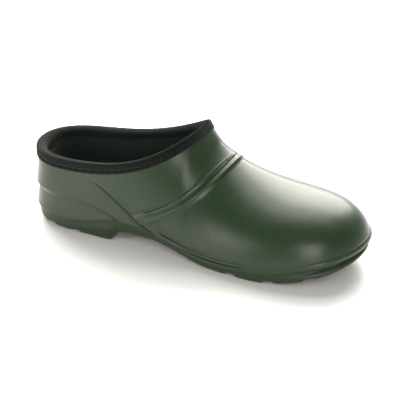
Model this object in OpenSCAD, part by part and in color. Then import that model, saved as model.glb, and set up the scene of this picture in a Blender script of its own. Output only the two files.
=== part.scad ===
// Lined rubber garden clog, right foot.
// X runs from heel to toe, Z is up, -Y is the outer (lateral) side of the foot.
// The origin is the centre of the bounding box on the ground.
// Every layer follows one skin: an outline seen from above, a crown line over it, and a
// rounded section between the two. A depth below that skin gives the next layer in.

/* [Size] */
// Length of the rubber shell from heel to toe
shoe_len = 290; // [260:1:315]
// Width over the ball of the foot
ball_width = 108; // [100:1:118]
// Height scale of the upper above the sole, in percent
upper_height = 100; // [92:1:108]

/* [Layers] */
// Thickness of the rubber of the upper
rubber_t = 3; // [2.4:0.1:3.6]
// Thickness of the textile lining
lining_t = 1.4; // [1:0.1:1.8]
// Thickness of the heel stiffener at the back
stiffener_t = 1.6; // [1:0.1:2]
// Thickness of the sponge filler on the outsole
filler_t = 2.4; // [1.5:0.1:3]
// Thickness of the insole board
board_t = 1.6; // [1.2:0.1:2.4]
// Thickness of the footbed foam under the ball
footbed_t = 4; // [3:0.1:5]
// Extra footbed foam under the heel
heel_pad = 3; // [0:0.1:4]
// Thickness of the textile on the footbed
cover_t = 1; // [0.6:0.1:1.4]

/* [Collar binding] */
// Height of the tape on the outside
tape_h = 9; // [7:0.5:11]
// Thickness of the tape
tape_t = 1.3; // [1:0.1:1.6]
// Number of stitches through the tape
stitch_count = 72; // [48:4:96]

/* [Sole] */
// Lift of the sole's edge at the toe
toe_spring = 17; // [14:1:21]
// Depth of the tread grooves
groove_depth = 2.6; // [1.5:0.1:3.2]
// Height of the arch between heel and forefoot
arch_height = 10.7; // [8:0.1:11]

/* [Hidden] */

kx = shoe_len / 290;
ky = ball_width / 108;
kz = upper_height / 100;
rubber = [0.25, 0.32, 0.24];
sole_rubber = [0.21, 0.27, 0.2];
textile = [0.1, 0.13, 0.12];

// Outline at equal turns round the foot: heel back, lateral heel, waist and ball, toe,
// and back along the medial side
OUTLINE = ky * [-2, -43, -46, -50, -65, -49, -4, 41, 50, 42, 36, 32];
// The crown falls in one soft step from the ankle to the vamp, then slowly to the toe
crown_heel = 175;
crown_toe = 52.5;
vamp_rise = 31;
instep_at = 0.424;
instep_run = 0.081;
// Sideways place of the crown line, and roundness of the section, heel to toe
CROWN_Y = ky * [-1, -1, 2, 7, 3, 3, 5];
ROUNDNESS = [2, 2, 1.9, 1.7, 2, 2.8, 4.4];

// Edge of the opening: height at the heel, and how far it rises up to the throat
collar_back = 64 * kz;
throat_rise = 34 * kz;
throat_run = 150 * kx;
// Edge of the sole, then floor inside the sole, at the heel, the arch, the ball and the toe
heel_edge = 12;
arch_edge = 21.5;
ball_edge = 10;
toe_edge = 26;
heel_floor = 18;
ball_floor = 8;
toe_floor = 22;

// The crown line is bent down to these ends, where the toe and heel fans start
fan_heel = 75 * kx;
fan_toe = 190 * kx;
// The collar stands up in front of the opening
lip_back = 146 * kx;
lip_front = 161 * kx;
lip_rise = 5.5 * kz;
tape_roll = 1.5;

// Diagonal edge of the heel counter and instep ridge, as the side shows them
diagonal_top = [68 * kx, 53 * kz];
diagonal_foot = [132 * kx, 18.4 * kz];
ridge_foot = [113 * kx, 28 * kz];
ridge_run = 58 * kx;

// ---- curves ----
function clamp(v, lo, hi) = max(lo, min(hi, v));
function smooth(v) = let (s = clamp(v, 0, 1)) s * s * (3 - 2 * s);
function cubic(a, b, c, d, f) = (pow(1 - f, 3) * a + (3 * pow(f, 3) - 6 * f * f + 4) * b
  + (-3 * pow(f, 3) + 3 * f * f + 3 * f + 1) * c + pow(f, 3) * d) / 6;
function spline(c, x) = let (
    spans = len(c) - 3,
    u = clamp(x / shoe_len * spans, 0, spans - 1e-6),
    i = floor(u)
  ) cubic(c[i], c[i + 1], c[i + 2], c[i + 3], u - i);
function loop_spline(c, a) = let (
    n = len(c),
    u = (a + 360) / 360 * n,
    i = floor(u)
  ) cubic(c[(i - 1) % n], c[i % n], c[(i + 1) % n], c[(i + 2) % n], u - i);
function bisect(f, a, b, n = 26) = let (m = (a + b) / 2)
  n == 0 ? m : f(m) > 0 ? bisect(f, a, m, n - 1) : bisect(f, m, b, n - 1);

// ---- skin ----
// The angle a runs 0 at the heel back, 180 at the toe tip, over the lateral side.
function along(a) = shoe_len / 2 * (1 - cos(a));
function angle_of(x) = acos(1 - 2 * x / shoe_len);
function outline(a, inset = 0) = let (
    p = [along(a), loop_spline(OUTLINE, a)],
    t = [along(a + 1), loop_spline(OUTLINE, a + 1)]
      - [along(a - 1), loop_spline(OUTLINE, a - 1)],
    n = [t.y, -t.x] / norm(t)
  ) p - inset * n;
// Eases from step for step to a stop at half the way, so that the fans join smoothly
function gather(s) = s - pow(s, 3) + pow(s, 4) / 2;
function spine(a) = let (
    x = along(a),
    back = fan_heel,
    front = shoe_len - fan_toe,
    q = x > fan_toe ? fan_toe + front * gather((x - fan_toe) / front)
      : x < fan_heel ? fan_heel - back * gather((fan_heel - x) / back) : x
  ) [q, spline(CROWN_Y, q)];
function toe_curve(x) = pow(max(0, x / kx - 185) / 105, 1.7);
function feather(x) = heel_edge
  + (arch_edge - heel_edge) * smooth((x / kx - 45) / 55)
  - (arch_edge - ball_edge) * smooth((x / kx - 105) / 75)
  + (toe_edge - ball_edge) * toe_curve(x);
function floor_z(x) = heel_floor
  - (heel_floor - ball_floor) * smooth((x / kx - 90) / 95)
  + (toe_floor - ball_floor) * toe_curve(x);
function crown_line(s) = let (low = crown_toe + vamp_rise * pow(1 - s, 1.3))
  low + (crown_heel - low) / (1 + exp((s - instep_at) / instep_run));
function crown(x) = kz * crown_line(clamp(x / shoe_len, 0, 1))
  + lip_rise * smooth((lip_front - x) / (lip_front - lip_back));
function rubber_top(x) = collar_back + throat_rise * pow(max(x, 0) / throat_run, 3.2)
  - tape_roll;
function diagonal(x) = let (
    f = (x - diagonal_top.x) / (diagonal_foot.x - diagonal_top.x)
  ) diagonal_top.y + f * (diagonal_foot.y - diagonal_top.y) + 1.5 * sin(360 * clamp(f, 0, 1));
function ridge(x) = let (f = (x - ridge_foot.x) / ridge_run)
  ridge_foot.y + kz * (27 * f + 15 * pow(max(f, 0), 3));

// A point at section angle phi (0 at the feather line, 90 on the crown), some depth in
function skin(a, phi, depth = 0) = let (
    base = along(a),
    o = outline(a, depth),
    q = spine(a),
    e = 2 / spline(ROUNDNESS, q.x),
    rho = pow(max(cos(phi), 0), e),
    g = pow(sin(phi), e),
    p = q + rho * (o - q),
    foot = feather(base)
  ) [p.x, p.y, foot + (crown(p.x) - 1.15 * depth - foot) * g];
// The section angle at which the skin reaches the height z_of(x)
function angle_at(a, z_of, n = 14, x = undef) = let (
    o = outline(a),
    q = spine(a),
    e = 2 / spline(ROUNDNESS, q.x),
    x1 = is_undef(x) ? o.x : x,
    foot = feather(along(a)),
    g = clamp((z_of(x1) - foot) / (crown(x1) - foot), 0, 1),
    phi = asin(pow(g, 1 / e)),
    x2 = q.x + pow(max(cos(phi), 0), e) * (o.x - q.x)
  ) n == 0 ? phi : angle_at(a, z_of, n - 1, (x1 + x2) / 2);

// Underside of the sole: heel, arch, forefoot and toe spring
heel_breast = 90 * kx;
arch_front = 181 * kx;
spring_start = 212 * kx;
GROOVES = kx * [30, 55, 196, 229, 261];
groove_half = 5;
function arch(x) = arch_height * smooth((x - heel_breast + 8) / 14)
  * smooth((arch_front - x) / 60);
function groove(x) = groove_depth
  * max([for (g = GROOVES) clamp((groove_half + 0.8 - abs(x - g)) / 1.6, 0, 1)]);
function heel_round(x) = 6 * pow(max(0, 1 - x / 20), 2);
function ground_line(x) = arch(x) + heel_round(x)
  + toe_spring * pow(max(0, x - spring_start) / (shoe_len - spring_start), 2);

// ---- columns: places along the foot where the layers are drawn ----
function steps(x0, x1, n) = [for (k = [0 : n]) x0 + (x1 - x0) * (1 - pow(1 - k / n, 2))];
function turns(x0, x1, n) = let (a0 = angle_of(x0), a1 = angle_of(x1))
  [for (k = [0 : n]) along(a0 + (a1 - a0) * k / n)];
function crest(z_of) = bisect(function (x) z_of(x) - crown(x), 90 * kx, 200 * kx);
throat_x = crest(function (x) rubber_top(x));
ridge_x = crest(function (x) ridge(x));
counter_x = 62 * kx;
function tail(v) = [for (k = [1 : len(v) - 1]) v[k]];
COLUMNS = concat(turns(0, counter_x, 8), tail(steps(counter_x, throat_x, 14)),
  tail(steps(throat_x, ridge_x, 7)), tail(turns(ridge_x, shoe_len, 14)));
function between(x0, x1) = concat([x0], [for (x = COLUMNS) if (x > x0 + 0.3 && x < x1 - 0.3) x],
  [x1]);

// ---- solids from point grids ----
function quad(a, b, c, d, flip) = flip ? [[a, c, b], [a, d, c]] : [[a, b, c], [a, c, d]];
// Leaves out the triangles that shrink to a line where a layer comes to a point
function apart(p, q) = norm(p - q) > 1e-5;
function real_faces(points, faces) = [for (f = faces) let (a = points[f[0]], b = points[f[1]],
  c = points[f[2]]) if (apart(a, b) && apart(b, c) && apart(a, c)) f];
// An angle that all but reaches the crown is on it
function snap(phi) = phi > 89.4 ? 90 : phi;

// A layer of the upper on both sides of the foot, between the heights low(x) and high(x)
// and the depths d0(x) and d1(x). The end that both sides share is left open.
module layer(xs, low, high, rows, d0, d1, cap_back = true, cap_front = true) {
  cols = len(xs);
  angles = [for (x = xs) angle_of(x)];
  lo = [for (a = angles) snap(angle_at(a, low))];
  hi = [for (a = angles) snap(angle_at(a, high))];
  points = [for (side = [0, 1], d = [d0, d1], k = [0 : cols - 1], r = [0 : rows])
    skin(side == 0 ? angles[k] : 360 - angles[k], lo[k] + (hi[k] - lo[k]) * r / rows, d(xs[k]))];
  function id(side, d, k, r) = ((side * 2 + d) * cols + k) * (rows + 1) + r;
  faces = [for (s = [0, 1], k = [0 : cols - 2]) each concat(
    [for (r = [0 : rows - 1]) each concat(
      quad(id(s, 0, k, r), id(s, 0, k, r + 1), id(s, 0, k + 1, r + 1), id(s, 0, k + 1, r), s == 1),
      quad(id(s, 1, k, r), id(s, 1, k, r + 1), id(s, 1, k + 1, r + 1), id(s, 1, k + 1, r), s == 0))],
    quad(id(s, 0, k, 0), id(s, 0, k + 1, 0), id(s, 1, k + 1, 0), id(s, 1, k, 0), s == 1),
    hi[k] > 89.9 && hi[k + 1] > 89.9 ? [] : quad(id(s, 0, k, rows), id(s, 1, k, rows),
      id(s, 1, k + 1, rows), id(s, 0, k + 1, rows), s == 1))];
  ends = [for (s = [0, 1], r = [0 : rows - 1]) each concat(
    cap_back ? quad(id(s, 1, 0, r), id(s, 1, 0, r + 1), id(s, 0, 0, r + 1), id(s, 0, 0, r), s == 1)
      : [],
    cap_front ? quad(id(s, 0, cols - 1, r), id(s, 0, cols - 1, r + 1),
      id(s, 1, cols - 1, r + 1), id(s, 1, cols - 1, r), s == 1) : [])];
  polyhedron(points, real_faces(points, concat(faces, ends)), convexity = 6);
}

// A plate: closed rings round the foot from the top edge down, with flat-across ends.
// point(a, ring, v) gives the rings (v = 0) and the points across the two ends.
module plate(xs, rings, edge, across, top, bottom) {
  n = len(xs);
  around = 2 * n - 2;
  angles = concat([for (x = xs) angle_of(x)], [for (k = [n - 2 : -1 : 1]) 360 - angle_of(xs[k])]);
  wall = [for (ring = [0 : rings - 1], a = angles) edge(a, ring)];
  function mirror_id(k) = (around - k) % around;
  function inner(z_of, ring) = [for (k = [1 : n - 2], j = [1 : across - 1]) let (
      p = wall[ring * around + k],
      q = wall[ring * around + mirror_id(k)],
      m = p + (q - p) * j / across
    ) [m.x, m.y, z_of(xs[k], 2 * j / across - 1)]];
  caps = concat(inner(top, 0), inner(bottom, rings - 1));
  function cap_id(end, k, j) = let (ring = end * (rings - 1))
    j == 0 || k == 0 || k == n - 1 ? ring * around + k
    : j == across ? ring * around + mirror_id(k)
    : rings * around + (end * (n - 2) + k - 1) * (across - 1) + j - 1;
  sides = [for (r = [0 : rings - 2], k = [0 : around - 1]) let (m = (k + 1) % around)
    each quad(r * around + k, r * around + m, (r + 1) * around + m, (r + 1) * around + k, false)];
  ends = [for (end = [0, 1], k = [0 : n - 2], j = [0 : across - 1])
    each quad(cap_id(end, k, j), cap_id(end, k, j + 1), cap_id(end, k + 1, j + 1),
      cap_id(end, k + 1, j), end == 1)];
  points = concat(wall, caps);
  polyhedron(points, real_faces(points, concat(sides, ends)), convexity = 6);
}

// A strip along the foot: one closed section per column, on both sides, joined at the
// toe or over the instep. section(a, x) lists the section's points.
module strip(angles, section, closed = false) {
  points = [for (a = angles) each section(a)];
  n = len(angles);
  m = len(section(angles[0]));
  sides = [for (k = [0 : closed ? n - 1 : n - 2], j = [0 : m - 1]) let (
      k1 = (k + 1) % n,
      j1 = (j + 1) % m
    ) each quad(k * m + j, k * m + j1, k1 * m + j1, k1 * m + j, false)];
  caps = closed ? [] : concat(
    [for (j = [1 : m - 2]) [0, j + 1, j]],
    [for (j = [1 : m - 2]) [(n - 1) * m, (n - 1) * m + j, (n - 1) * m + j + 1]]);
  polyhedron(points, concat(sides, caps), convexity = 8);
}

// Places the shoe frame, which starts at the heel, on the centre of the bounding box
mid_y = let (ys = [for (a = [0 : 3 : 357]) outline(a).y]) (min(ys) + max(ys)) / 2;
module place() translate([-shoe_len / 2, -mid_y, 0]) children();

// ---- depths of the layers ----
skin_depth = function (x) 0;
rubber_depth = function (x) rubber_t;
// The stiffener thins out from the heel to its front edge
stiffener_front = 88 * kx;
function stiffener(x) = x > stiffener_front ? 0
  : stiffener_t * (0.15 + 0.85 * smooth((stiffener_front - x) / (38 * kx)));
lining_depth = function (x) rubber_t + stiffener(x);
inner_depth = function (x) rubber_t + stiffener(x) + lining_t;

// ---- heights inside the clog ----
fit = 0.4;
function toe_thin(x) = 0.35 + 0.65 * smooth((shoe_len - x) / (50 * kx));
floor_top = function (x, v) floor_z(x);
filler_top = function (x, v) floor_z(x) + filler_t * toe_thin(x);
board_top = function (x, v) filler_top(x, v) + board_t;
function cup(x, v) = 5 * pow(abs(v), 4) * smooth((150 * kx - x) / (90 * kx));
footbed_top = function (x, v) board_top(x, v) + footbed_t * toe_thin(x) + cup(x, v)
  + heel_pad * smooth((130 * kx - x) / (70 * kx));
cover_top = function (x, v) footbed_top(x, v) + cover_t;

INSIDE = concat([for (a = [0 : 10 : 170]) along(a)], [shoe_len]);
module inner_plate(gap, low, high, across) {
  plate(INSIDE, 2, function (a, ring) let (
      p = outline(a, inner_depth(along(a)) + gap),
      z_of = ring == 0 ? high : low
    ) [p.x, p.y, z_of(along(a), 1)], across, high, low);
}

// ---- parts ----
SOLE_COLUMNS = let (
    marks = [for (g = GROOVES, d = [-1, 1], e = [-0.8, 0.8]) g + d * groove_half + e],
    plain = [for (a = [0 : 9 : 180]) let (x = along(a)) if (min([for (m = marks) abs(m - x)]) > 2.5) x],
    extra = [heel_breast - 8, heel_breast - 3, heel_breast + 3, heel_breast + 8]
  ) sorted(concat(marks, plain, extra));
function sorted(v) = len(v) < 2 ? v : let (p = v[floor(len(v) / 2)])
  concat(sorted([for (e = v) if (e < p) e]), [p], sorted([for (e = v) if (e > p) e]));
sole_inset = 3;
edge_round = 2.5;
// The sole is a tray: floor, inside of the rim, rim, then down the outside to the tread
module outsole() {
  color(sole_rubber) place()
  plate(SOLE_COLUMNS, 7, function (a, ring) let (
      x = along(a),
      rim = feather(x),
      bottom = ground_line(x),
      z = [floor_z(x), rim, rim, 0.6 * rim + 0.4 * (bottom + edge_round),
        bottom + edge_round + groove(x) * 0.5, bottom + 0.7 + groove(x), bottom + groove(x)][ring],
      inset = [inner_depth(x), inner_depth(x), 0, 0.8, sole_inset - 0.6, sole_inset + 0.4,
        sole_inset + 2][ring],
      p = outline(a, inset)
    ) [p.x, p.y, z], 4, floor_top, function (x, v) ground_line(x) + groove(x));
}
module bottom_filler() {
  color("dimgray") place() inner_plate(0, floor_top, filler_top, 4);
}
module insole_board() {
  color("tan") place() inner_plate(0, filler_top, board_top, 4);
}
module footbed() {
  color("darkslategray") place() inner_plate(fit, board_top, footbed_top, 8);
}
module footbed_cover() {
  color("black") place() inner_plate(fit, footbed_top, cover_top, 8);
}

// Lower edge of the layer over the sole, and the joint between counter, vamp and quarter
foot_z = function (x) feather(x);
top_z = function (x) rubber_top(x);
counter_top = function (x) x < counter_x ? rubber_top(x) : min(rubber_top(x), diagonal(x));
vamp_foot = function (x) max(feather(x), diagonal(x));
vamp_top = function (x) ridge(x);
quarter_foot = function (x) x < ridge_foot.x + 0.3 ? diagonal(x) : ridge(x);
module heel_counter() {
  color(rubber) place()
  layer(between(0, 127 * kx), foot_z, counter_top, 7, skin_depth, rubber_depth,
    cap_back = false);
}
module vamp() {
  color(rubber) place()
  layer(between(ridge_foot.x + 0.5, shoe_len), vamp_foot, vamp_top, 12, skin_depth, rubber_depth,
    cap_front = false);
}
module quarter() {
  color(rubber) place()
  layer(between(counter_x, ridge_x), quarter_foot, top_z, 8, skin_depth, rubber_depth);
}
module heel_stiffener() {
  color("peru") place()
  layer(between(0, stiffener_front), foot_z, function (x) rubber_top(x) - 2, 4,
    rubber_depth, lining_depth, cap_back = false);
}
lining_joint = function (x) ridge(x + 6 * kx);
lining_foot = function (x) x < 107 * kx ? feather(x) : lining_joint(x);
module quarter_lining() {
  color(textile) place()
  layer(between(0, crest(lining_joint)), lining_foot, top_z, 7, lining_depth, inner_depth,
    cap_back = false);
}
module vamp_lining() {
  color(textile) place()
  layer(between(110 * kx, shoe_len), foot_z, lining_joint, 10, lining_depth, inner_depth,
    cap_front = false);
}
seam_tape_t = 0.6;
module back_seam_tape() {
  color(textile) place()
  layer(turns(0, 3 * kx, 2), function (x) cover_top(x, 1) + 1,
    function (x) rubber_top(x) - tape_h - 1, 4,
    inner_depth, function (x) inner_depth(x) + seam_tape_t, cap_back = false);
}

// Trims follow curves at a height offset w from a guide height, over both sides and the
// crown. u runs -1 at the lateral start, 0 on the crown and 1 at the medial start.
function trim_point(u, w, depth, guide, x0) = let (
    z_of = function (x) guide(x) + w,
    x1 = crest(z_of),
    x = x1 - (x1 - x0) * u * u,
    a = angle_of(max(x, 0))
  ) skin(u < 0 ? a : 360 - a, angle_at(a, z_of), depth);
// Double bead over the joint: height offset from the ridge and how far it stands out
BEADS = [[-4.2, 0], [-3.4, 1], [-2.2, 1.4], [-1, 1], [-0.2, 0.3], [0.6, 1.2], [1.8, 1.7],
  [3, 1.2], [3.8, 0]];
module instep_trim() {
  us = [for (k = [-16 : 16]) k / 16];
  color(rubber) place()
  strip(us, function (u) [for (b = BEADS)
    trim_point(u, b[0], -0.1 - b[1], function (x) ridge(x), ridge_foot.x + 2)]);
}
// Double bead along the feather line, from the diagonal round the toe
WELT = [[-2.6, 0], [-2, 0.9], [-1, 1.2], [0.1, 0.8], [0.8, 0.3], [1.5, 0.9], [2.5, 1.2],
  [3.6, 0.8], [4.2, 0]];
module foxing_strip() {
  start = angle_of(diagonal_foot.x - 4);
  n = 24;
  color(rubber) place()
  strip([for (k = [-n : n]) 180 + (180 - start) * k / n], function (a) [for (b = WELT) let (
      foot = feather(along(a)),
      depth = -0.1 - b[1]
    ) b[0] >= 0
      ? skin(a, angle_at(a < 180 ? a : 360 - a, function (x) foot + b[0]), depth)
      : let (p = outline(a, depth - 0.12 * b[0])) [p.x, p.y, foot + b[0]]]);
}

// Tape folded over the collar edge: height below the edge, and depth
function tape_section(x) = let (
    out = 0.15,
    in = inner_depth(x) + 0.15
  ) [[tape_h - tape_roll, -out], [tape_h - tape_roll, -tape_t], [3, -tape_t - 0.5],
    [0, -tape_t - 0.3], [-1, -tape_t + 0.6], [-tape_roll, rubber_t / 2], [-1, in + tape_t - 0.8],
    [0, in + tape_t], [3, in + tape_t], [6, in + tape_t * 0.8], [6, in], [-0.2, in],
    [-0.2, -out]];
function tape_x(u) = throat_x * (1 - pow(abs(u), 2));
// u runs -1 to 1 from heel back over the lateral side, the throat and the medial side
function opening_point(u, w, depth) = let (
    z_of = function (x) rubber_top(x) - w,
    x1 = crest(z_of),
    f = abs(u) < 0.6 ? pow(abs(u) / 0.6, 2) * 0.5 : 0.5 + 0.5 * sin(90 * (abs(u) - 0.6) / 0.4),
    x = x1 * (1 - f),
    a = angle_of(x)
  ) skin(u < 0 ? a : 360 - a, angle_at(a, z_of), depth);
tape_steps = 32;
module top_binding() {
  color("black") place()
  strip([for (k = [-tape_steps : tape_steps - 1]) k / tape_steps], function (u)
    [for (p = tape_section(tape_x(u))) opening_point(u, p[0], p[1])], closed = true);
}
stitch = [2.2, 0.5, 0.4];
stitch_drop = 4.5;
module binding_stitches() {
  color("dimgray") place()
  for (k = [0 : stitch_count - 1]) {
    u = -1 + (2 * k + 1) / stitch_count;
    p = opening_point(u, stitch_drop, -tape_t - 0.75);
    q = opening_point(u + 0.004, stitch_drop, -tape_t - 0.75);
    d = (q - p) / norm(q - p);
    translate(p) rotate([0, -asin(d.z), atan2(d.y, d.x)]) cube(stitch, center = true);
  }
}

outsole();
bottom_filler();
insole_board();
footbed();
footbed_cover();
heel_counter();
vamp();
quarter();
instep_trim();
foxing_strip();
heel_stiffener();
vamp_lining();
quarter_lining();
back_seam_tape();
top_binding();
binding_stitches();
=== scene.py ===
"""Looks of a lined rubber garden clog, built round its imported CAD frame.

Every layer follows one skin, as in the CAD: an outline seen from above, a crown line over it
and a rounded section between the two. Shapes are worked out in millimetres in the shoe frame
(x from the heel back, z up, y < 0 on the outer side) and placed() puts them in the row frame.
"""

import bmesh
import bpy
import numpy as np
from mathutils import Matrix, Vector


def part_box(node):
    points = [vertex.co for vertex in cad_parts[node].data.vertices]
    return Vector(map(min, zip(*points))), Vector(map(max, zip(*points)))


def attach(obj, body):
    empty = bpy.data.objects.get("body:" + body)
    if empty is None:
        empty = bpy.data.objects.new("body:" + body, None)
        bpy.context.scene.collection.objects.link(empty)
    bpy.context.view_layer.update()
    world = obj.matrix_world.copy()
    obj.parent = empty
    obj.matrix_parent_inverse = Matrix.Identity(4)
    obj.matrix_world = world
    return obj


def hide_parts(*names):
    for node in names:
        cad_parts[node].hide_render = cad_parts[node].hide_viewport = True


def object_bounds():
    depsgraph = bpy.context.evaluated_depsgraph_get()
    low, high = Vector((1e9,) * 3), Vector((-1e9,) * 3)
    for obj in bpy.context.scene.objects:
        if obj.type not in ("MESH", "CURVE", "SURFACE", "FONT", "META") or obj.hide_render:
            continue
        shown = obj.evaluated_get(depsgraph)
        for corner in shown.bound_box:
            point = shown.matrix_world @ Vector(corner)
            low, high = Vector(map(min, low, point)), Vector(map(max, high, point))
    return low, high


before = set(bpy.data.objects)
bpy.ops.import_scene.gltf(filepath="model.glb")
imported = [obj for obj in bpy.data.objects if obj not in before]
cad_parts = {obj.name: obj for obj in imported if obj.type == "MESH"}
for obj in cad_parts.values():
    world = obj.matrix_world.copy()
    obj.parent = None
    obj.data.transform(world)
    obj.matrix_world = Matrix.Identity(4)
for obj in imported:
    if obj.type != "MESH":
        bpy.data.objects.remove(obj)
cad_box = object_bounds()

# ---- driving shape: the same curves as in the CAD ----
LENGTH = 290.0
OUTLINE = [-2, -43, -46, -50, -65, -49, -4, 41, 50, 42, 36, 32]
CROWN_HEEL, CROWN_TOE, VAMP_RISE, INSTEP_AT, INSTEP_RUN = 175, 52.5, 31, 0.424, 0.081
COLLAR_BACK, THROAT_RISE, THROAT_RUN = 64, 34, 150
HEEL_EDGE, ARCH_EDGE, BALL_EDGE, TOE_EDGE = 12, 21.5, 10, 26
HEEL_FLOOR, BALL_FLOOR, TOE_FLOOR = 18, 8, 22
CROWN_Y = [-1, -1, 2, 7, 3, 3, 5]
ROUNDNESS = [2, 2, 1.9, 1.7, 2, 2.8, 4.4]
FAN_HEEL, FAN_TOE = 75, 190
TOE_START = 185
LIP_BACK, LIP_FRONT, LIP_RISE = 146, 161, 5.5
TAPE_ROLL = 1.5
RUBBER, LINING, STIFFENER, STIFFENER_FRONT = 3, 1.4, 1.6, 88
FILLER, BOARD, FOOTBED, HEEL_PAD, HEEL_CUP, COVER = 2.4, 1.6, 4, 3, 5, 1
COUNTER_X, DIAGONAL_TOP, DIAGONAL_FOOT = 62, (68, 53), (132, 18.4)
RIDGE_FOOT, RIDGE_RUN, RIDGE_RISE, RIDGE_CURL = (113, 28), 58, 27, 15
ARCH, TOE_SPRING, HEEL_BREAST, ARCH_FRONT, SPRING_START = 10.7, 17, 90, 181, 212
GROOVES, GROOVE_DEPTH, GROOVE_HALF, GROOVE_BOW = (30, 55, 196, 229, 261), 2.6, 5, 3

# ---- details that the CAD leaves out ----
STITCHES, STITCH_HALF, THREAD_RADIUS, STITCH_DROP = 72, 1.25, 0.3, 4.7
# The folded tape outside: drop below the collar edge, and how far it stands out
TAPE_OUTSIDE = [(7.6, 0.2), (7.6, 1.0), (7.2, 1.5), (6.4, 1.7), (5.6, 1.6), (5.0, 1.15),
                (4.7, 0.85), (4.4, 1.15), (3.8, 1.75), (2.8, 2.05), (1.6, 2.1), (0.6, 1.9)]
# The same inside: drop, and depth beyond the lining
TAPE_INSIDE = [(0.4, 1.5), (1.4, 1.5), (2.4, 1.4), (3.4, 1.2), (3.9, 0.7), (4.0, 0.1)]
JOINING_DISTANCE = 4e-5
MIN_STEP = 0.04
BANDS_PER_UNIT = 0.159 * 2 * np.pi
SKEW = 0.88


# ---- curves ----
def smooth(v):
    s = np.clip(v, 0, 1)
    return s * s * (3 - 2 * s)


def cubic(a, b, c, d, f):
    return ((1 - f) ** 3 * a + (3 * f**3 - 6 * f * f + 4) * b
            + (-3 * f**3 + 3 * f * f + 3 * f + 1) * c + f**3 * d) / 6


def spline(values, x):
    c = np.asarray(values, float)
    u = np.clip(np.asarray(x, float) / LENGTH * (len(c) - 3), 0, len(c) - 3 - 1e-6)
    i = np.floor(u).astype(int)
    return cubic(c[i], c[i + 1], c[i + 2], c[i + 3], u - i)


def loop_spline(values, a):
    c = np.asarray(values, float)
    n = len(c)
    u = (np.asarray(a, float) + 360) / 360 * n
    i = np.floor(u).astype(int)
    return cubic(c[(i - 1) % n], c[i % n], c[(i + 1) % n], c[(i + 2) % n], u - i)


def sin_d(a):
    return np.sin(np.radians(a))


def cos_d(a):
    return np.cos(np.radians(a))


def bisect(f, low, high):
    for _ in range(40):
        middle = (low + high) / 2
        low, high = (low, middle) if f(middle) > 0 else (middle, high)
    return (low + high) / 2


# ---- skin: a runs 0 at the heel back, 180 at the toe tip, over the outer side ----
def along(a):
    return LENGTH / 2 * (1 - cos_d(a))


def angle_of(x):
    return np.degrees(np.arccos(np.clip(1 - 2 * np.asarray(x, float) / LENGTH, -1, 1)))


def outline(a, inset=0.0):
    p = np.stack([along(a), loop_spline(OUTLINE, a)], -1)
    t = np.stack([along(a + 1) - along(a - 1),
                  loop_spline(OUTLINE, a + 1) - loop_spline(OUTLINE, a - 1)], -1)
    n = np.stack([t[..., 1], -t[..., 0]], -1) / np.linalg.norm(t, axis=-1, keepdims=True)
    return p - np.asarray(inset, float)[..., None] * n


def path_length(points):
    """Distance run along a row of points, from 0 at the first."""
    steps = np.linalg.norm(np.diff(points, axis=0), axis=1)
    return np.cumsum(np.concatenate([[0], steps]))


def gather(s):
    return s - s**3 + s**4 / 2


def spine(a):
    x = along(a)
    front = LENGTH - FAN_TOE
    q = np.where(x > FAN_TOE, FAN_TOE + front * gather(np.clip((x - FAN_TOE) / front, 0, 1)), x)
    q = np.where(x < FAN_HEEL, FAN_HEEL * (1 - gather(np.clip(1 - x / FAN_HEEL, 0, 1))), q)
    return np.stack([q, spline(CROWN_Y, q)], -1)


def toe_curve(x):
    return (np.maximum(0, x - TOE_START) / (LENGTH - TOE_START)) ** 1.7


def feather(x):
    x = np.asarray(x, float)
    return (HEEL_EDGE + (ARCH_EDGE - HEEL_EDGE) * smooth((x - 45) / 55)
            - (ARCH_EDGE - BALL_EDGE) * smooth((x - 105) / 75)
            + (TOE_EDGE - BALL_EDGE) * toe_curve(x))


def floor_z(x):
    x = np.asarray(x, float)
    return (HEEL_FLOOR - (HEEL_FLOOR - BALL_FLOOR) * smooth((x - 90) / 95)
            + (TOE_FLOOR - BALL_FLOOR) * toe_curve(x))


def ripple_line(x):
    """Height of the upper ripple round the heel counter."""
    return 31 - 16 * smooth((np.asarray(x, float) - 58) / 72)


def crown(x):
    s = np.clip(x / LENGTH, 0, 1)
    low = CROWN_TOE + VAMP_RISE * (1 - s) ** 1.3
    step = 1 / (1 + np.exp((s - INSTEP_AT) / INSTEP_RUN))
    stand_up = LIP_RISE * smooth((LIP_FRONT - x) / (LIP_FRONT - LIP_BACK))
    return low + (CROWN_HEEL - low) * step + stand_up


def rubber_top(x):
    x = np.maximum(np.asarray(x, float), 0)
    return COLLAR_BACK + THROAT_RISE * (x / THROAT_RUN) ** 3.2 - TAPE_ROLL


def diagonal(x):
    f = (x - DIAGONAL_TOP[0]) / (DIAGONAL_FOOT[0] - DIAGONAL_TOP[0])
    fall = DIAGONAL_FOOT[1] - DIAGONAL_TOP[1]
    return DIAGONAL_TOP[1] + f * fall + 1.5 * sin_d(360 * np.clip(f, 0, 1))


def ridge(x):
    f = (np.asarray(x, float) - RIDGE_FOOT[0]) / RIDGE_RUN
    return RIDGE_FOOT[1] + RIDGE_RISE * f + RIDGE_CURL * np.maximum(f, 0) ** 3


def skin(a, phi, depth=0.0):
    """Points at section angle phi (0 at the feather line, 90 on the crown), some depth in."""
    a, phi, depth = np.broadcast_arrays(*(np.asarray(v, float) for v in (a, phi, depth)))
    o, q = outline(a, depth), spine(a)
    e = 2 / spline(ROUNDNESS, q[..., 0])
    rho = np.maximum(cos_d(phi), 0) ** e
    g = np.maximum(sin_d(phi), 0) ** e
    p = q + rho[..., None] * (o - q)
    foot = feather(along(a))
    z = foot + (crown(p[..., 0]) - 1.15 * depth - foot) * g
    return np.concatenate([p, z[..., None]], -1)


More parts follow.
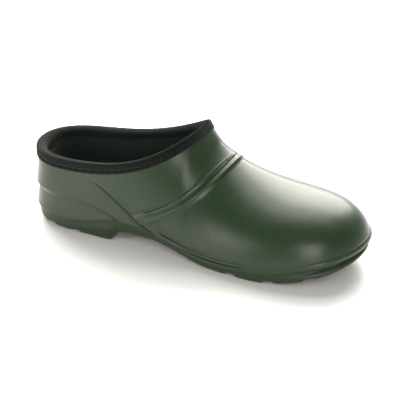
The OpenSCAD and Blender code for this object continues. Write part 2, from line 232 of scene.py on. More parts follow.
def angle_at(a, z_of):
    """The section angle at which the skin reaches the height z_of(x)."""
    x0, q = along(a), spine(a)[..., 0]
    e = 2 / spline(ROUNDNESS, q)
    foot = feather(x0)
    x = x0
    for _ in range(15):
        g = np.clip((z_of(x) - foot) / (crown(x) - foot), 0, 1)
        phi = np.degrees(np.arcsin(g ** (1 / e)))
        x = (x + q + np.maximum(cos_d(phi), 0) ** e * (x0 - q)) / 2
    return np.where(phi > 89.4, 90.0, phi)


def crest(z_of):
    """Where a line of heights over the skin meets the crown."""
    return bisect(lambda x: float(z_of(x) - crown(x)), 90, 200)


def raised(z_of, by):
    """The same line of heights, or of depths, plus a distance."""
    return lambda x: z_of(x) + by


THROAT_X, RIDGE_X = crest(rubber_top), crest(ridge)


# ---- underside and heights inside ----
def arch(x):
    return ARCH * smooth((x - HEEL_BREAST + 8) / 14) * smooth((ARCH_FRONT - x) / 60)


def ground_line(x):
    heel_round = 6 * np.maximum(0, 1 - x / 20) ** 2
    spring = TOE_SPRING * (np.maximum(0, x - SPRING_START) / (LENGTH - SPRING_START)) ** 2
    return arch(x) + heel_round + spring


def stiffener(x):
    thin = 0.15 + 0.85 * smooth((STIFFENER_FRONT - x) / 38)
    return np.where(x > STIFFENER_FRONT, 0, STIFFENER * thin)


def lining_depth(x):
    return RUBBER + stiffener(x)


def inner_depth(x):
    return lining_depth(x) + LINING


def toe_thin(x):
    return 0.35 + 0.65 * smooth((LENGTH - x) / 50)


def filler_top(x, v):
    return floor_z(x) + FILLER * toe_thin(x)


def board_top(x, v):
    return filler_top(x, v) + BOARD


def footbed_top(x, v):
    cup = HEEL_CUP * np.abs(v) ** 4 * smooth((150 - x) / 90)
    return board_top(x, v) + FOOTBED * toe_thin(x) + cup + HEEL_PAD * smooth((130 - x) / 70)


def cover_top(x, v):
    return footbed_top(x, v) + COVER


# ---- placing: from the shoe frame in millimetres to the row frame in metres ----
def frame_scale():
    """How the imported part's length, width and height compare with these curves."""
    a = np.arange(0, 360, 3)
    y = outline(a)[:, 1]
    low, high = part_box("vamp")
    length = (high.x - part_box("heel_counter")[0].x) / LENGTH
    width = (high.y - low.y) / (y.max() - y.min())
    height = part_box("quarter")[1].z / float(rubber_top(THROAT_X))
    return np.array([length, width, height]), (y.max() + y.min()) / 2


SCALE, MID_Y = frame_scale()


def placed(points):
    return (np.asarray(points, float) - [LENGTH / 2, MID_Y, 0]) * SCALE


# ---- meshes ----
def grid_faces(cols, rows, wrap=False):
    """Quads of a grid whose points run row by row inside each column."""
    k, r = np.meshgrid(np.arange(cols - 1), np.arange(rows if wrap else rows - 1), indexing="ij")
    up = (r + 1) % rows
    faces = np.stack([k * rows + r, k * rows + up, (k + 1) * rows + up, (k + 1) * rows + r], -1)
    return faces.reshape(-1, 4)


def make_piece(name, grids, material, nodes, slot, sharp=38):
    """A mesh from (points, faces, weave) grids: shared edges are joined, normals point out."""
    points, faces, weave, start = [], [], [], 0
    for grid_points, grid_quads, grid_weave in grids:
        flat = np.reshape(grid_points, (-1, 3))
        points.append(flat)
        weave.append(np.reshape(grid_weave, (-1, 3)))
        faces.append(np.asarray(grid_quads) + start)
        start += len(flat)
    mesh = bpy.data.meshes.new(name)
    mesh.from_pydata(placed(np.concatenate(points)).tolist(), [], np.concatenate(faces).tolist())
    layer = mesh.attributes.new("weave", "FLOAT_VECTOR", "POINT")
    layer.data.foreach_set("vector", np.concatenate(weave).astype(np.float32).ravel())
    bm = bmesh.new()
    bm.from_mesh(mesh)
    bmesh.ops.remove_doubles(bm, verts=bm.verts, dist=JOINING_DISTANCE)
    bmesh.ops.dissolve_degenerate(bm, edges=bm.edges, dist=1e-6)
    bmesh.ops.recalc_face_normals(bm, faces=bm.faces)
    bm.to_mesh(mesh)
    bm.free()
    mesh.shade_smooth()
    mesh.set_sharp_from_angle(angle=np.radians(sharp))
    mesh.materials.append(material)
    piece = bpy.data.objects.new(name, mesh)
    bpy.context.scene.collection.objects.link(piece)
    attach(piece, "root")
    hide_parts(*nodes)
    return piece


def columns(x0, x1, pitch, focus=()):
    """Angles from x0 to x1, an even pitch apart round the outline, and closer near each focus."""
    a = np.linspace(angle_of(x0), angle_of(x1), 2000)
    run = path_length(outline(a))
    even = np.interp(np.linspace(0, run[-1], max(3, int(run[-1] / pitch))), run, a)
    near = [angle_of(x + side * 7 * s * s) for x in focus for side in (-1, 1)
            for s in np.linspace(0, 1, 16)]
    keep = [v for v in near if even[0] < v < even[-1]]
    both = np.sort(np.concatenate([even, keep]))
    apart = np.concatenate([[True], np.diff(both) > MIN_STEP])
    apart[-1] = True
    return both[apart]


def ease_rows(n, pinch=0.6):
    s = np.linspace(0, 1, n)
    return s - pinch * np.sin(2 * np.pi * s) / (2 * np.pi)


def no_relief(x, z):
    return np.zeros_like(z)


def shell(a, low, high, rows, outer, inner, relief=no_relief, inner_relief=no_relief,
          cap_back=True, cap_front=True, pinch=0.6):
    """Grids of a slab of the upper on both sides, between the heights low(x) and high(x)."""
    t = ease_rows(rows, pinch)
    lo, hi = angle_at(a, low), angle_at(a, high)
    phi = lo[:, None] + (hi - lo)[:, None] * t
    run = path_length(outline(a))
    grids, cols = [], len(a)
    for side in (0, 1):
        angles = (a if side == 0 else 360 - a)[:, None] + 0 * phi
        layers = []
        for depth_of, bumps in ((outer, relief), (inner, inner_relief)):
            base = np.asarray(depth_of(along(a)), float) + 0 * a
            flat = skin(angles, phi, base[:, None])
            raised = bumps(flat[..., 0], flat[..., 2])
            layers.append(skin(angles, phi, base[:, None] - raised))
        weave = np.stack([run[:, None] + 0 * phi, layers[0][..., 2], 0 * phi], -1)
        for points in layers:
            grids.append((points, grid_faces(cols, rows), weave))
        rims = [(0, None), (rows - 1, None)]
        rims += [(None, 0)] * cap_back + [(None, cols - 1)] * cap_front
        for row, col in rims:
            cut = (slice(None), row) if col is None else (col, slice(None))
            pair = np.stack([layer[cut] for layer in layers], 1)
            pair_weave = np.stack([weave[cut], weave[cut] + [0, 0, 1]], 1)
            grids.append((pair, grid_faces(len(pair), 2), pair_weave))
    return grids


def plate(a, rings, across, top, bottom):
    """Grids of a plate: rings of (inset(x), z(x)) round the foot, with caps across both ends."""
    around = np.concatenate([a, 360 - a[-2:0:-1]])
    walls = [np.concatenate([outline(around, inset(along(around))),
                             z(along(around))[:, None]], -1) for inset, z in rings]
    closed = np.stack([np.concatenate([w, w[:1]]) for w in walls], 1)
    weave = closed * [1, 1, 0]
    grids = [(closed, grid_faces(len(closed), len(rings)), weave)]
    mirror = (-np.arange(len(a))) % len(around)
    v = np.linspace(-1, 1, across + 1)
    for wall, z_of in ((walls[0], top), (walls[-1], bottom)):
        p, q = wall[: len(a)], wall[mirror]
        m = p[:, None] + (q - p)[:, None] * ((v + 1) / 2)[None, :, None]
        inside = np.ones(m.shape[:2], bool)
        inside[:, [0, -1]] = False
        inside[[0, -1]] = False
        z = z_of(along(a)[:, None] + 0 * v, v + 0 * a[:, None])
        m[..., 2] = np.where(inside, z, m[..., 2])
        grids.append((m, grid_faces(len(a), across + 1), m * [1, 1, 0]))
    return grids


def strip(sections, weave, closed):
    """Grids of a strip: one closed section per step, joined up or capped at its ends."""
    if closed:
        sections = np.concatenate([sections, sections[:1]])
        weave = np.concatenate([weave, weave[-1:] + (weave[-1:] - weave[-2:-1])])
    grids = [(sections, grid_faces(len(sections), sections.shape[1], wrap=True), weave)]
    if not closed:
        for end in (0, -1):
            centre = np.repeat(sections[end].mean(0)[None], sections.shape[1], 0)
            fan = np.stack([sections[end], centre])
            grids.append((fan, grid_faces(2, sections.shape[1], wrap=True), 0 * fan))
    return grids


# ---- materials ----
def linear(r, g, b):
    """A colour given as it shows on a screen, 0 to 255."""
    c = np.array([r, g, b]) / 255
    return (*np.where(c < 0.04045, c / 12.92, ((c + 0.055) / 1.055) ** 2.4), 1.0)


class Look:
    """A node material in the making: each method adds a node and returns its output."""

    def __init__(self, name, color, roughness, **sockets):
        self.material = bpy.data.materials.new(name)
        self.material.use_nodes = True
        self.nodes = self.material.node_tree.nodes
        self.links = self.material.node_tree.links
        self.shader = self.nodes["Principled BSDF"]
        self.color = color
        self.shader.inputs["Base Color"].default_value = color
        self.shader.inputs["Roughness"].default_value = roughness
        for socket, value in sockets.items():
            self.shader.inputs[socket.replace("_", " ")].default_value = value

    def add(self, kind, settings=None, **inputs):
        node = self.nodes.new("ShaderNode" + kind)
        for key, value in (settings or {}).items():
            setattr(node, key, value)
        for key, value in inputs.items():
            socket = node.inputs[key.replace("_", " ")]
            if isinstance(value, bpy.types.NodeSocket):
                self.links.new(value, socket)
            else:
                socket.default_value = value
        return node

    def place(self):
        return self.add("TexCoord").outputs["Object"]

    def weave_at(self):
        return self.add("Attribute", {"attribute_name": "weave"}).outputs["Vector"]

    def noise(self, at, scale, detail=3.0, roughness=0.5):
        return self.add("TexNoise", Vector=at, Scale=scale, Detail=detail,
                        Roughness=roughness).outputs["Fac"]

    def waves(self, at, scale, direction="X", distortion=0.0):
        settings = {"wave_type": "BANDS", "bands_direction": direction, "wave_profile": "SIN"}
        return self.add("TexWave", settings, Vector=at, Scale=scale,
                        Distortion=distortion).outputs["Fac"]

    def spread(self, value, low, high):
        """Maps 0..1 to low..high."""
        return self.add("MapRange", Value=value, To_Min=low, To_Max=high).outputs["Result"]

    def select(self, value, low, high):
        """Maps the span from low to high to 0..1."""
        return self.add("MapRange", Value=value, From_Min=low, From_Max=high).outputs["Result"]

    def math(self, operation, a, b):
        node = self.nodes.new("ShaderNodeMath")
        node.operation = operation
        for socket, value in zip(node.inputs, (a, b)):
            if isinstance(value, bpy.types.NodeSocket):
                self.links.new(value, socket)
            else:
                socket.default_value = value
        return node.outputs[0]

    def mix(self, factor, first, second):
        node = self.nodes.new("ShaderNodeMix")
        node.data_type = "RGBA"
        for index, value in ((0, factor), (6, first), (7, second)):
            if isinstance(value, bpy.types.NodeSocket):
                self.links.new(value, node.inputs[index])
            else:
                node.inputs[index].default_value = value
        return node.outputs[2]

    def shade(self, factor):
        """The base colour times factor low..high, as a colour output."""
        return self.mix(factor, (0.0, 0.0, 0.0, 1.0), self.color)

    def set(self, socket, output):
        self.links.new(output, self.shader.inputs[socket])

    def bump(self, height, strength, distance, normal=None):
        node = self.add("Bump", Height=height, Strength=strength, Distance=distance)
        if normal is not None:
            self.links.new(normal, node.inputs["Normal"])
        return node.outputs["Normal"]


def rubber_look(name, color, roughness, grain, worn):
    """Moulded rubber: fine grain, uneven gloss, slight mottling, paler rubbed edges."""
    look = Look(name, color, roughness, Specular_IOR_Level=0.42)
    at = look.place()
    mottle = look.noise(at, 38, 4)
    fine = look.noise(at, 900, 2)
    tone = look.math("ADD", look.spread(mottle, -0.12, 0.12), 1.0)
    tone = look.math("MULTIPLY", tone, look.spread(fine, 0.93, 1.07))
    pointed = look.add("NewGeometry").outputs["Pointiness"]
    edge = look.math("MULTIPLY", look.select(pointed, 0.53, 0.62), look.spread(mottle, 0.2, 1))
    base = look.mix(look.math("MULTIPLY", edge, worn), look.shade(tone), linear(92, 100, 84))
    look.set("Base Color", base)
    rough = look.math("ADD", look.spread(look.noise(at, 120, 3), -0.05, 0.05), roughness)
    rough = look.math("ADD", rough, look.math("MULTIPLY", edge, 0.12))
    look.set("Roughness", rough)
    grainy = look.bump(look.noise(at, 2600, 2), grain, 0.0002)
    look.set("Normal", look.bump(look.noise(at, 60, 2), 0.05, 0.002, grainy))
    return look.material


def cloth_look(name, color, roughness, pitch, strength, sheen=0.3, pale=None):
    """Woven or knitted textile: two crossed sets of threads, fuzz and uneven dye."""
    look = Look(name, color, roughness, Sheen_Weight=sheen, Sheen_Roughness=0.45,
                Specular_IOR_Level=0.12)
    at = look.weave_at()
    count = BANDS_PER_UNIT / pitch
    warp = look.waves(at, count, "X", 0.6)
    weft = look.waves(at, count, "Y", 0.6)
    cross = look.math("MAXIMUM", warp, weft)
    fuzz = look.noise(look.place(), 1500, 4, 0.7)
    tone = look.math("MULTIPLY", look.spread(cross, 0.6, 1.1), look.spread(fuzz, 0.6, 1.4))
    base = look.shade(tone)
    if pale is not None:
        speck = look.select(look.noise(look.place(), 2400, 2), 0.62, 0.75)
        base = look.mix(look.math("MULTIPLY", speck, 0.5), base, pale)
    look.set("Base Color", base)
    look.set("Roughness", look.spread(fuzz, roughness - 0.08, min(1.0, roughness + 0.1)))
    height = look.math("ADD", look.math("MULTIPLY", cross, 0.6), fuzz)
    look.set("Normal", look.bump(height, strength, 0.0004))
    return look.material


def foam_look(name, color, roughness, cell):
    """Sponge, foam or board: small cells and an uneven tone."""
    look = Look(name, color, roughness, Specular_IOR_Level=0.3)
    at = look.place()
    cells = look.add("TexVoronoi", Vector=at, Scale=1 / cell).outputs["Distance"]
    cloud = look.noise(at, 60, 5)
    tone = look.math("MULTIPLY", look.spread(cells, 0.8, 1.15), look.spread(cloud, 0.8, 1.2))
    look.set("Base Color", look.shade(tone))
    look.set("Roughness", look.spread(cloud, roughness - 0.06, roughness + 0.06))
    look.set("Normal", look.bump(cells, 0.35, cell * 0.4))
    return look.material


def make_looks():
    green = linear(34, 52, 31)
    return {
        "upper_rubber": rubber_look("upper_rubber", green, 0.33, 0.10, 0.18),
        "trim_rubber": rubber_look("trim_rubber", linear(35, 53, 32), 0.34, 0.10, 0.25),
        "sole_rubber": rubber_look("sole_rubber", linear(34, 50, 29), 0.46, 0.22, 0.30),
        "binding_tape": cloth_look("binding_tape", linear(17, 25, 19), 0.9, 0.9, 0.7, 0.08,
                                   linear(70, 73, 67)),
        "thread": cloth_look("thread", linear(30, 34, 31), 0.7, 0.35, 0.5),
        "lining_textile": cloth_look("lining_textile", linear(34, 46, 39), 0.95, 1.3, 0.8, 0.1),
        "seam_tape": cloth_look("seam_tape", linear(28, 36, 32), 0.85, 0.7, 0.5),
        "footbed_textile": cloth_look("footbed_textile", linear(24, 30, 27), 0.9, 1.1, 0.6),
        "footbed_foam": foam_look("footbed_foam", linear(38, 46, 42), 0.85, 0.0008),
        "filler_sponge": foam_look("filler_sponge", linear(70, 70, 66), 0.9, 0.0015),
        "insole_board": foam_look("insole_board", linear(176, 150, 112), 0.85, 0.0004),
        "stiffener_board": foam_look("stiffener_board", linear(160, 140, 108), 0.8, 0.0004),
    }


# ---- relief of the rubber ----
def lapped(distance, height, reach, edge):
    """A lapped step: proud above the line, sunk below it."""
    return height * np.tanh(distance / edge) * np.exp(-np.abs(distance) / reach)


def lip(distance, height, reach, edge=0.5):
    """A proud edge: rounded where it starts, fading out behind."""
    d = np.maximum(distance, 0)
    return height * (1 - 0.8 * np.exp(-d / edge)) * np.exp(-d / reach)


def diagonal_strength(x):
    return smooth((x - 68) / 26)


def counter_relief(x, z):
    """Heel counter: the lapped ripple, the proud foot and the dip towards the diagonal."""
    ripple = 0.5 + 1.0 * smooth((34 - x) / 30) + 0.4 * smooth((x - 84) / 14)
    softness = 0.6 + 1.6 * smooth((x - 12) / 22) - 0.8 * smooth((x - 84) / 14)
    ripple = ripple * smooth((diagonal(x) - ripple_line(x) - 2) / 8)
    foot = 1.0 + 0.5 * smooth((40 - x) / 30)
    away = (diagonal(x) - z) * SKEW
    notch = 2.0 * np.exp(-np.maximum(away, 0) / 0.7) + 0.7 * np.exp(-np.maximum(away, 0) / 4)
    dip = -diagonal_strength(x) * notch
    return lapped(z - ripple_line(x), ripple, 7, softness) + lip(z - feather(x), foot, 6) + dip


def front_lip(x, z):
    """Edge of the quarter and the vamp that laps over the heel counter."""
    away = (z - diagonal(x)) * SKEW
    strength = diagonal_strength(x) * smooth((136 - x) / 6)
    return strength * lip(away, 1.0, 6, 0.2)


def ridge_swing(x):
    """Height above the ridge per millimetre square to it."""
    f = np.clip((np.asarray(x, float) - RIDGE_FOOT[0]) / RIDGE_RUN, 0, 1)
    return np.hypot(1, (RIDGE_RISE + 3 * RIDGE_CURL * f * f) / RIDGE_RUN)


def ridge_away(x, z):
    """Distance from the instep ridge, towards the opening."""
    return (z - ridge(x)) / ridge_swing(x)


def quarter_relief(x, z):
    w = ridge_away(x, z)
    groove = -0.55 * np.exp(-((w - 4.6) / 1.3) ** 2) * smooth((160 - x) / 25)
    swell = 0.8 * np.exp(-np.maximum(w, 0) / 6)
    return front_lip(x, z) + (groove + swell) * smooth((x - 106) / 6)


def vamp_relief(x, z):
    w = -ridge_away(x, z)
    crest_near = smooth((x - RIDGE_X + 26) / 20)
    fold = (0.35 + 0.75 * crest_near) * np.exp(-((w - 4) / 1.7) ** 2) * smooth((x - 118) / 8)
    flare = 1.5 * np.exp(-np.maximum(z - feather(x) - 2, 0) / 4.5) * smooth((x - 236) / 40)
    return front_lip(x, z) + fold + flare


# ---- pieces of the upper ----
def counter_top(x):
    return np.where(x < COUNTER_X, rubber_top(x), np.minimum(rubber_top(x), diagonal(x)))


def quarter_foot(x):
    return np.where(x < RIDGE_FOOT[0] + 0.3, diagonal(x), ridge(x))


def vamp_foot(x):
    return np.maximum(feather(x), diagonal(x))


def flat_depth(value):
    return lambda x: value + 0 * np.asarray(x, float)


def upper_pieces(looks):
    rubber = looks["upper_rubber"]
    skin_depth, rubber_depth = flat_depth(0.0), flat_depth(RUBBER)
    make_piece("heel_counter_shell", shell(
        columns(0, 127, 0.8), feather, counter_top, 112, skin_depth, rubber_depth,
        counter_relief, cap_back=False, pinch=0.45), rubber, ["heel_counter"], "upper_rubber")
    make_piece("vamp_shell", shell(
        columns(RIDGE_FOOT[0] + 0.5, LENGTH, 1.0, [RIDGE_X]), vamp_foot, ridge, 92, skin_depth,
        rubber_depth, vamp_relief, cap_front=False), rubber, ["vamp"], "upper_rubber")
    make_piece("quarter_shell", shell(
        columns(COUNTER_X, RIDGE_X, 0.9, [THROAT_X]), quarter_foot, rubber_top, 70, skin_depth,
        rubber_depth, quarter_relief), rubber, ["quarter"], "upper_rubber")
    make_piece("heel_stiffener_board", shell(
        columns(0, STIFFENER_FRONT, 2), feather, raised(rubber_top, -2), 24,
        rubber_depth, lining_depth, cap_back=False), looks["stiffener_board"],
        ["heel_stiffener"], "stiffener_board")


def creases(x, z):
    """Slack of a glued lining: faint folds that run up and down."""
    return 0.22 * np.sin(x / 5.1 + np.sin(z / 9)) * np.sin(z / 13 + x / 31)


def webbing_ribs(x, z):
    """Cross ribs of the woven tape at the back seam."""
    return -0.12 * np.sin(z * 3)


def lining_joint(x):
    """Where quarter lining and vamp lining meet, a little behind the ridge."""
    return ridge(np.asarray(x) + 6)


def quarter_lining_foot(x):
    return np.where(x < 107, feather(x), lining_joint(x))


def webbing_foot(x):
    return cover_top(x, 1) + 1


def lining_pieces(looks):
    cloth = looks["lining_textile"]
    make_piece("quarter_lining_cloth", shell(
        columns(0, crest(lining_joint), 1.6, [THROAT_X]), quarter_lining_foot, rubber_top, 44,
        lining_depth, inner_depth, inner_relief=creases, cap_back=False),
        cloth, ["quarter_lining"], "lining_textile")
    make_piece("vamp_lining_cloth", shell(
        columns(110, LENGTH, 1.8), feather, lining_joint, 54, lining_depth, inner_depth,
        inner_relief=creases, cap_front=False), cloth, ["vamp_lining"], "lining_textile")
    make_piece("back_seam_webbing", shell(
        columns(0, 3, 0.5), webbing_foot, raised(rubber_top, -10), 60, inner_depth,
        raised(inner_depth, 0.6), inner_relief=webbing_ribs, cap_back=False),
        looks["seam_tape"], ["back_seam_tape"], "seam_tape")


# ---- raised trims ----
def bead(w, centre, half):
    """A round bead, 0 to 1, across the offset w."""
    return np.sqrt(np.clip(1 - ((w - centre) / half) ** 2, 0, 1))


def trim_paths(offsets, guide, steps, x0, swing):
    """Column angle, section angle and x along a guide height, at offsets across it."""
    angles, phis, xs = [], [], []
    u = np.linspace(-1, 1, steps)

    def line_at(w):
        return lambda x: guide(x) + w * swing(x)

    for w in offsets:
        z_of = line_at(w)
        x1 = crest(z_of)
        x = x1 - (x1 - x0) * u * u
        a = angle_of(x)
        angles.append(np.where(u < 0, a, 360 - a))
        phis.append(angle_at(a, z_of))
        xs.append(x)
    return u, np.stack(angles, 1), np.stack(phis, 1), np.stack(xs, 1)


def instep_bead(looks):
    """The double bead along the instep ridge, round on top and sunk below into the rubber."""
    w = np.concatenate([np.linspace(-4.6, -0.6, 15), np.linspace(-0.4, 5, 22)])
    u, a, phi, x = trim_paths(w, ridge, 260, RIDGE_FOOT[0] + 1, ridge_swing)
    high = smooth((x - 128) / 34)
    fade = smooth((1 - np.abs(u)) / 0.11)[:, None]
    near_crown = smooth((x - RIDGE_X + 14) / 12)
    upper = (1.7 - 1.1 * near_crown) * bead(w, 2.0, 2.1)
    lower = (0.5 + 0.5 * high - 0.4 * near_crown) * bead(w, -2.6, 1.6)
    proud = (upper + lower) * fade - 0.35 * (np.abs(w + 0.4) < 0.6) + 0.05
    top = skin(a, phi, -proud)
    under = skin(a, phi, 0.6)[:, ::-1]
    sections = np.concatenate([top, under], 1)
    make_piece("instep_bead", strip(sections, sections * 0, False), looks["trim_rubber"],
               ["instep_trim"], "trim_rubber", sharp=50)


def foxing_bead(looks):
    """The bead along the sole's edge: one bead behind, two along the ball, one at the toe."""
    start = float(angle_of(DIAGONAL_FOOT[0] - 4))
    a = np.linspace(start, 360 - start, 620)
    side = np.where(a < 180, a, 360 - a)
    x = along(a)
    foot = feather(x)
    w = np.linspace(-2.8, 4.6, 38)
    toe = smooth((x - 238) / 34)
    split = smooth((x - 150) / 20) * (1 - toe)
    calm = 1 - 0.75 * smooth((x - 196) / 22) * (1 - toe)
    fade = smooth((x - DIAGONAL_FOOT[0] + 5) / 8)
    height = np.zeros((len(a), len(w)))
    for n in range(len(a)):
        single = (1.3 + 1.3 * toe[n]) * bead(w, 0.9 + 0.3 * toe[n], 2.6 + 0.6 * toe[n])
        double = 1.3 * bead(w, -0.9, 1.5) + 1.2 * bead(w, 2.4, 1.3)
        shape = split[n] * double + (1 - split[n]) * single
        height[n] = shape * calm[n] * fade[n]
    top = []
    for j, offset in enumerate(w):
        if offset >= 0:
            phi = angle_at(side, lambda q, z=foot + offset: z)
            top.append(skin(a, phi, -height[:, j]))
        else:
            flat = outline(a, -height[:, j] - 0.12 * offset)
            top.append(np.concatenate([flat, (foot + offset)[:, None]], -1))
    top = np.stack(top, 1)
    inner = outline(a, 1.2 + 0 * a)
    under = np.stack([np.concatenate([inner, (foot + v)[:, None]], -1)
                      for v in (3.6, 0.9, -2.2)], 1)
    sections = np.concatenate([top, under], 1)
    make_piece("foxing_bead", strip(sections, sections * 0, False), looks["trim_rubber"],
               ["foxing_strip"], "trim_rubber", sharp=50)


# ---- collar binding ----
def opening_path(u, drop):
    """Column and section angles at a drop below the collar edge; u runs -1..1 from heel to heel."""
    z_of = raised(rubber_top, -drop)
    x1 = crest(z_of)
    v = np.abs(u)
    f = np.where(v < 0.6, (v / 0.6) ** 2 * 0.5, 0.5 + 0.5 * sin_d(90 * (v - 0.6) / 0.4))
    a = angle_of(x1 * (1 - f))
    return np.where(u < 0, a, 360 - a), angle_at(a, z_of), x1 * (1 - f)


def top_binding(looks):
    """The tape, folded over the collar edge: outside, roll, inside and the cut edges between."""
    u = np.linspace(-1, 1, 560, endpoint=False)
    lump = 1.1 * np.exp(-((u - 0.01) / 0.04) ** 2)
    columns_of = []
    for drop, out in TAPE_OUTSIDE:
        a, phi, _ = opening_path(u, drop)
        ripple = 0.08 * np.sin(u * 230 + drop) + 0.05 * np.sin(u * 611 + 2 * drop)
        columns_of.append(skin(a, phi, -(out + (lump + ripple) * min(1, out))))
    edge_a, edge_phi, edge_x = opening_path(u, 0.0)
    inside = inner_depth(edge_x)
    first = columns_of[-1]
    inner_top = skin(edge_a, edge_phi, inside + 1.5)
    middle = (first + inner_top) / 2
    half = np.linalg.norm(first - inner_top, axis=1) / 2
    low_a, low_phi, _ = opening_path(u, 3.0)
    beyond = skin(edge_a, edge_phi) - skin(low_a, low_phi)
    beyond /= np.linalg.norm(beyond, axis=1, keepdims=True)
    for turn in np.linspace(20, 160, 9):
        reach = (first - middle) * cos_d(turn)
        lift = (half * 0.62 + 1.1 * np.exp(-((u / 0.08) ** 2))) * sin_d(turn)
        columns_of.append(middle + reach + lift[:, None] * beyond)
    for drop, depth in TAPE_INSIDE:
        a, phi, x = opening_path(u, drop)
        columns_of.append(skin(a, phi, inner_depth(x) + depth))
    for drop, share in ((2.0, 1.0), (2.0, 0.0)):
        a, phi, x = opening_path(u, drop)
        columns_of.append(skin(a, phi, inner_depth(x) * share + 0.05))
    sections = np.stack(columns_of, 1)
    run, arc = path_length(sections[:, 8]), path_length(sections[100])
    weave = np.stack(np.broadcast_arrays(run[:, None], arc[None], 0.0), -1)
    make_piece("binding_tape", strip(sections, weave, True), looks["binding_tape"],
               ["top_binding"], "binding_tape", sharp=60)


def binding_thread(looks):
    """Stitches in the tape's groove, each a short arch of thread that dips in at its ends."""
    rings, sides, step = 13, 10, 0.02
    s = np.linspace(-1, 1, rings)
    turn = np.linspace(0, 360, sides, endpoint=False)
    grids = []
    for k in range(STITCHES):
        u = -1 + (2 * k + 1) / STITCHES
        a, phi, _ = opening_path(np.array([u - step, u, u + step]), STITCH_DROP)
        before, centre, after = skin(a, phi, -1.05)
        forward = (after - before) / np.linalg.norm(after - before)
        lifted = skin(a, phi, -2.05)[1] - centre
        out = lifted / np.linalg.norm(lifted)
        across = np.cross(forward, out)
        arch_out = (0.3 - 0.7 * s**4)[:, None] * out
        spine_points = centre + STITCH_HALF * s[:, None] * forward + arch_out
        radius = THREAD_RADIUS * np.sqrt(np.clip(1 - s**6, 0.02, 1))
        ring = (cos_d(turn)[None, :, None] * out + sin_d(turn)[None, :, None] * across)
        tube = spine_points[:, None] + radius[:, None, None] * ring
        twist = np.stack(np.broadcast_arrays(
            s[:, None] * STITCH_HALF + turn / 360, turn / 60, 0.0), -1)
        grids += strip(tube, twist, False)
    make_piece("binding_thread", grids, looks["thread"], ["binding_stitches"], "thread")


# ---- sole and what lies on it ----
def groove(x, v=0.0):
    """Tread grooves: gentle bows across the sole."""
    bow = GROOVE_BOW * (1 - v * v)
    depth = np.zeros(np.broadcast(x, v).shape)
    for g in GROOVES:
        shift = bow if g > LENGTH / 2 else -bow
        away = np.abs(x - g - shift + GROOVE_BOW / 2)
        depth = np.maximum(depth, np.clip((GROOVE_HALF + 0.8 - away) / 1.6, 0, 1))
    return GROOVE_DEPTH * depth


def tread(x, v):
    """Height field of the underside between the edges of the sole."""
    sipe = 0.9 * np.exp(-((np.sin(np.pi * (x + 3 * (1 - v * v)) / 8.3)) / 0.22) ** 2)
    fore = smooth((x - 176) / 6) * smooth((286 - x) / 8)
    heel = smooth((x - 8) / 6) * smooth((84 - x) / 6)
    rim = smooth((0.9 - np.abs(v)) / 0.06)
    ribs = 0.7 * np.sin(np.pi * x / 6) ** 2 * smooth((x - 100) / 6) * smooth((168 - x) / 6)
    return (sipe * (fore + heel) + ribs * smooth((0.7 - np.abs(v)) / 0.1)) * rim


def underside(x, v):
    cuts = groove(x, v) * smooth((1 - abs(v)) / 0.1 + 0.6)
    return ground_line(x) + np.maximum(cuts, tread(x, v))


def level_floor(x, v):
    return floor_z(x)


def outsole(looks):
    """The sole unit: its wall leans in, rounds off below and is cut in under the toe."""
    a = columns(0, LENGTH, 1.1, [g + d for g in GROOVES for d in (-5, 5)])
    rings = [(inner_depth, floor_z), (inner_depth, feather)]

    def ring_at(t):
        def height(x):
            bottom = ground_line(x) + groove(x) * 0.6
            return feather(x) * (1 - t) + bottom * t

        def inset(x):
            drop = feather(x) - height(x)
            left = (feather(x) - ground_line(x) - groove(x) * 0.6) * (1 - t)
            toe = smooth((x - 236) / 34)
            lean = (3.0 - 1.5 * toe) * t**1.6
            rounding = 2.2 * np.maximum(0, 1 - left / 2.6) ** 2
            heel = smooth((100 - x) / 20)
            under = heel * 0.8 * np.exp(-drop / 5) * (1 - 0.3 * np.exp(-drop))
            under = under - heel * 0.9 * np.exp(-((drop - 8) / 3.5) ** 2)
            cut = 2.0 * np.exp(-(((drop - 4.2) / 1.3) ** 2))
            swell = 1.8 * np.exp(-(((drop - 8.5) / 3) ** 2))
            return lean + rounding + under + toe * (cut - swell)

        return inset, height

    rings += [ring_at(t) for t in ease_rows(30, 0.5)]
    make_piece("outsole_moulding", plate(a, rings, 96, level_floor, underside),
               looks["sole_rubber"], ["outsole"], "sole_rubber", sharp=45)


def flat_layers(looks):
    """Filler, board, footbed foam and its textile, each with rounded cut edges."""
    a = columns(0, LENGTH, 2.2)
    gap = 0.4

    def layer(name, low, high, across, round_off, space, node, slot):
        def ring_at(share_round, share_height):
            def inset(x):
                return inner_depth(x) + space + round_off * share_round

            def height(x):
                return low(x, 1) + share_height * (high(x, 1) - low(x, 1))

            return inset, height

        rings = [ring_at(*shares) for shares in
                 ((1, 1), (0.3, 0.9), (0, 0.65), (0, 0.3), (0.3, 0))]
        return make_piece(name, plate(a, rings, across, high, low), looks[slot], [node], slot)

    layer("filler_sheet", level_floor, filler_top, 24, 0.5, 0, "bottom_filler", "filler_sponge")
    layer("insole_board_sheet", filler_top, board_top, 24, 0.3, 0, "insole_board", "insole_board")
    foam = layer("footbed_foam", board_top, footbed_top, 40, 0.8, gap, "footbed", "footbed_foam")
    layer("footbed_textile", footbed_top, cover_top, 40, 0.4, gap, "footbed_cover",
          "footbed_textile")


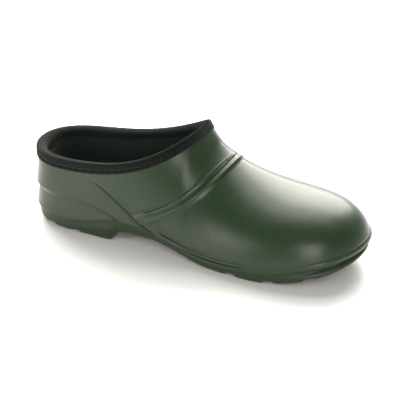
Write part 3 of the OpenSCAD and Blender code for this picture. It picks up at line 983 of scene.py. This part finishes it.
# ---- surroundings ----
def make_stage():
    half = 4.0
    mesh = bpy.data.meshes.new("floor")
    mesh.from_pydata([(-half, -half, 0), (half, -half, 0), (half, half, 0), (-half, half, 0)], [],
                     [(0, 1, 2, 3)])
    look = Look("floor", linear(250, 250, 249), 0.3, Specular_IOR_Level=0.3)
    look.set("Roughness", look.spread(look.noise(look.place(), 3), 0.26, 0.34))
    mesh.materials.append(look.material)
    floor = bpy.data.objects.new("floor", mesh)
    floor.location.z = cad_box[0].z - 0.0002
    bpy.context.scene.collection.objects.link(floor)


def make_world():
    """Studio surroundings: bright round the horizon, dark overhead."""
    world = bpy.data.worlds.new("studio")
    world.use_nodes = True
    nodes, links = world.node_tree.nodes, world.node_tree.links
    direction = nodes.new("ShaderNodeTexCoord")
    split = nodes.new("ShaderNodeSeparateXYZ")
    ramp = nodes.new("ShaderNodeValToRGB")
    links.new(direction.outputs["Generated"], split.inputs[0])
    links.new(split.outputs["Z"], ramp.inputs["Fac"])
    links.new(ramp.outputs["Color"], nodes["Background"].inputs["Color"])
    stops = ramp.color_ramp.elements
    stops[0].position, stops[0].color = 0.0, (0.75, 0.75, 0.73, 1)
    stops[1].position, stops[1].color = 0.7, (0.15, 0.15, 0.15, 1)
    middle = stops.new(0.3)
    middle.color = (0.42, 0.42, 0.41, 1)
    nodes["Background"].inputs["Strength"].default_value = 1.15
    bpy.context.scene.world = world


def softbox(name, azimuth, elevation, distance, size, power):
    """An area light that faces the object from a direction in the camera's own azimuth terms."""
    data = bpy.data.lights.new(name, "AREA")
    data.shape = "RECTANGLE"
    data.size, data.size_y = size
    data.energy = power
    data.color = (1.0, 0.97, 0.92)
    light = bpy.data.objects.new(name, data)
    back = direction_of(azimuth, elevation)
    light.location = back * distance + Vector((0, 0, 0.05))
    light.rotation_euler = back.to_track_quat("Z", "Y").to_euler()
    bpy.context.scene.collection.objects.link(light)


def direction_of(azimuth, elevation):
    return Vector((sin_d(azimuth) * cos_d(elevation), -cos_d(azimuth) * cos_d(elevation),
                   sin_d(elevation)))


def make_lights():
    softbox("key_behind", 207, 33, 1.8, (2.5, 1.35), 108)
    softbox("overhead", 208, 64, 1.7, (1.7, 0.9), 20)
    softbox("side_left", -38, 17, 1.9, (0.5, 0.9), 9)
    softbox("side_right", 34, 27, 1.9, (0.8, 1.3), 17)


def make_camera():
    """The view from the outer side and the toe, from above, with a long lens."""
    azimuth, elevation, distance = 25.38, 25.75, 1.1487
    data = bpy.data.cameras.new("camera")
    data.lens = 127.0
    data.sensor_width = 36.0
    data.shift_x, data.shift_y = 0.0022, -0.0395
    camera = bpy.data.objects.new("camera", data)
    back = direction_of(azimuth, elevation)
    target = Vector((*placed([LENGTH / 2, 0, 0])[:2], 0.045))
    camera.location = target + back * distance
    camera.rotation_mode = "QUATERNION"
    camera.rotation_quaternion = (-back).to_track_quat("-Z", "Y")
    bpy.context.scene.collection.objects.link(camera)
    bpy.context.scene.camera = camera


make_camera()
make_stage()
make_world()
make_lights()
LOOKS = make_looks()
outsole(LOOKS)
flat_layers(LOOKS)
upper_pieces(LOOKS)
lining_pieces(LOOKS)
instep_bead(LOOKS)
foxing_bead(LOOKS)
top_binding(LOOKS)
binding_thread(LOOKS)
bpy.context.scene.view_settings.view_transform = "Standard"
